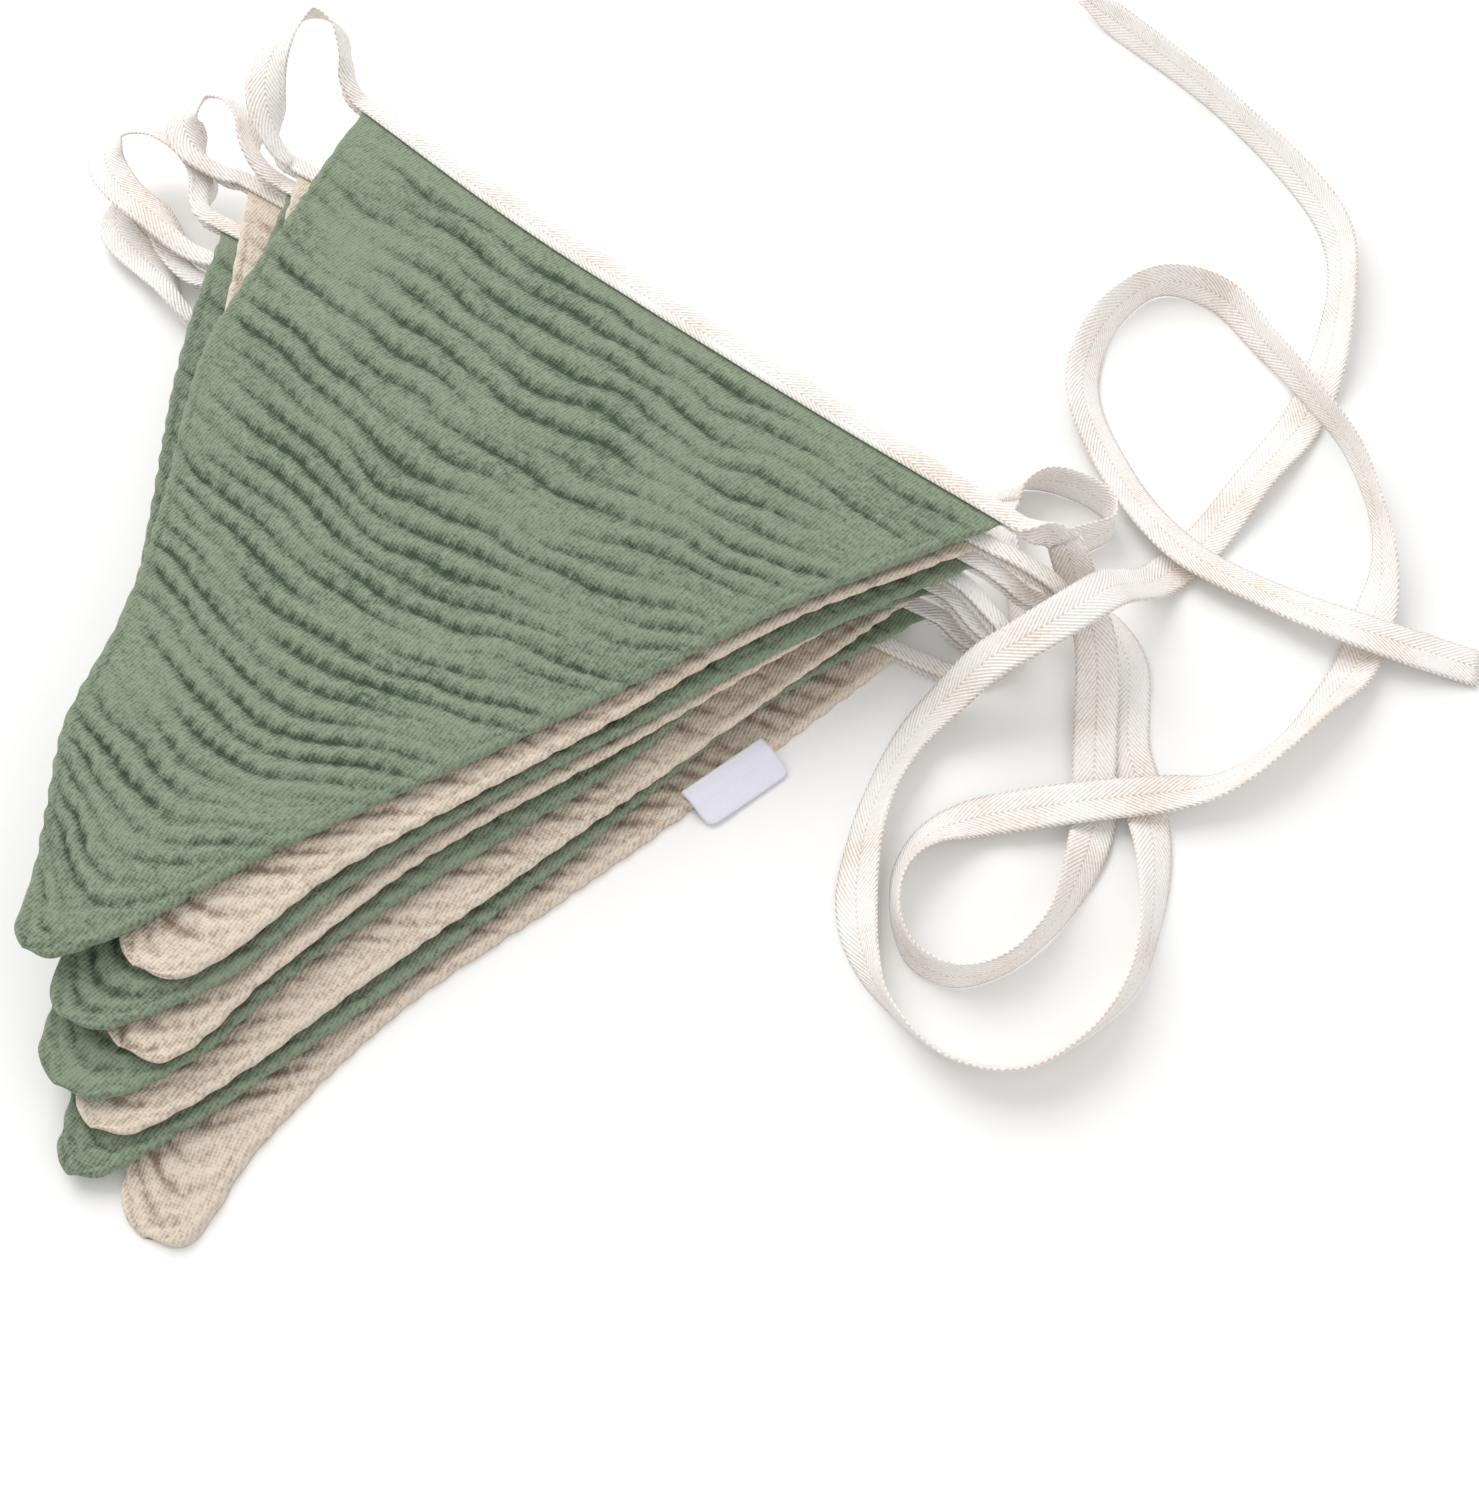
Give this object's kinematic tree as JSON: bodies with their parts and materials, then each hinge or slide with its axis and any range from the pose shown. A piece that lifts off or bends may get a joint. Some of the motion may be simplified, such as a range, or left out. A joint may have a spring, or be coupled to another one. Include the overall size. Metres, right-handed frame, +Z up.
{
  "type": "fabric bunting",
  "caption": "Double gauze triangle bunting in sage and beige, folded accordion-wise into a stack with its cotton tape looped at the corners and its tie ends laid beside it.",
  "frame": {"origin": "centre of the folded stack with its corner loops, on the plane it rests on", "axes": "+Z up from the surface it rests on; the top header runs from back left to front right and the tips point to front left; -Y is towards the viewer"},
  "size_m": [0.341, 0.3544, 0.0488],
  "materials": {
    "pennant_1": "matte crinkled double gauze",
    "pennant_2": "matte crinkled double gauze",
    "pennant_3": "matte crinkled double gauze",
    "pennant_4": "matte crinkled double gauze",
    "pennant_5": "matte crinkled double gauze",
    "pennant_6": "matte crinkled double gauze",
    "pennant_7": "matte crinkled double gauze",
    "pennant_8": "matte crinkled double gauze",
    "header_tape": "matte herringbone cotton tape",
    "tie_top": "matte herringbone cotton tape",
    "tie_bottom": "matte herringbone cotton tape",
    "label": "matte satin-woven ribbon"
  },
  "bodies": {
    "root": {"pennant_1": "pennant_1", "pennant_2": "pennant_2", "pennant_3": "pennant_3", "pennant_4": "pennant_4", "pennant_5": "pennant_5", "pennant_6": "pennant_6", "pennant_7": "pennant_7", "pennant_8": "pennant_8", "header_tape": "header_tape", "tie_top": "tie_top", "tie_bottom": "tie_bottom", "label": "label"}
  },
  "joints": []
}
